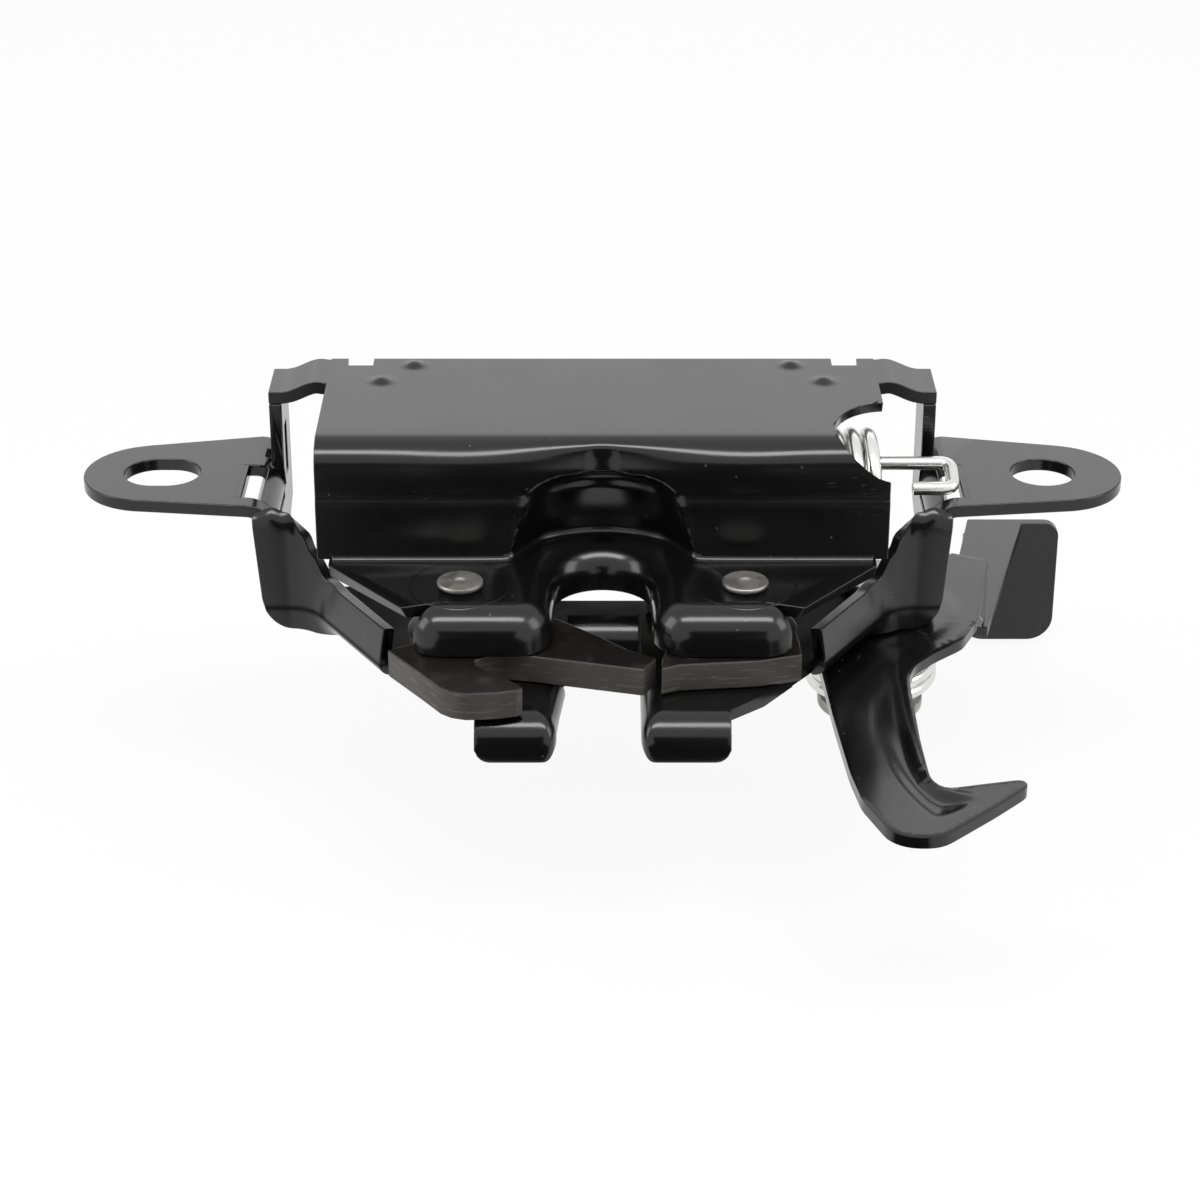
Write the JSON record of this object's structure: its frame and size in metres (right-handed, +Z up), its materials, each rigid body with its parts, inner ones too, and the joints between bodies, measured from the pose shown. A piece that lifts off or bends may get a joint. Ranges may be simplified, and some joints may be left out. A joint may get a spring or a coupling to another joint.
{
  "type": "bonnet latch",
  "caption": "Vehicle bonnet latch of folded black steel with a claw and pawl beside a striker slot, a lift spring under the cover and a sprung safety lever with hook and paddle.",
  "frame": {"origin": "midway between the two mounting holes, on the top face of the ears", "axes": "+X along the bracket towards the safety lever, -Y towards the side that the striker comes from, +Z up along the rivets, from the lower plate to the cover"},
  "size_m": [0.1458, 0.1146, 0.0615],
  "materials": {
    "black_coat": "gloss black dip coat",
    "phosphate_steel": "dark phosphate with worn edges",
    "bare_steel": "worn bare steel",
    "zinc_steel": "bright zinc plate"
  },
  "bodies": {
    "frame": {"base_bracket": "black_coat", "cover": "black_coat", "claw_rivet": "bare_steel", "pawl_rivet": "bare_steel", "lever_rivet": "bare_steel", "lever_bush": "zinc_steel", "lift_spring": "zinc_steel", "claw_spring": "zinc_steel", "pawl_spring": "zinc_steel"},
    "claw": {"claw": "phosphate_steel"},
    "pawl": {"pawl": "phosphate_steel"},
    "lever": {"safety_lever": "black_coat", "lever_spring": "zinc_steel"}
  },
  "joints": [
    {"name": "claw_turn", "type": "hinge", "parent": "frame", "child": "claw", "pos_m": [-0.019, -0.027, -0.0127], "axis": [0, 0, 1], "range_deg": [0, 55], "stiffness_Nm_per_rad": 0.15, "springref_deg": -20.05},
    {"name": "pawl_turn", "type": "hinge", "parent": "frame", "child": "pawl", "pos_m": [0.019, -0.027, -0.0127], "axis": [0, 0, 1], "range_deg": [0, 7], "stiffness_Nm_per_rad": 0.15},
    {"name": "lever_turn", "type": "hinge", "parent": "frame", "child": "lever", "pos_m": [0.0384, -0.0055, -0.0193], "axis": [0, 0, 1], "range_deg": [-14, 0], "stiffness_Nm_per_rad": 0.2, "springref_deg": 20.05}
  ]
}
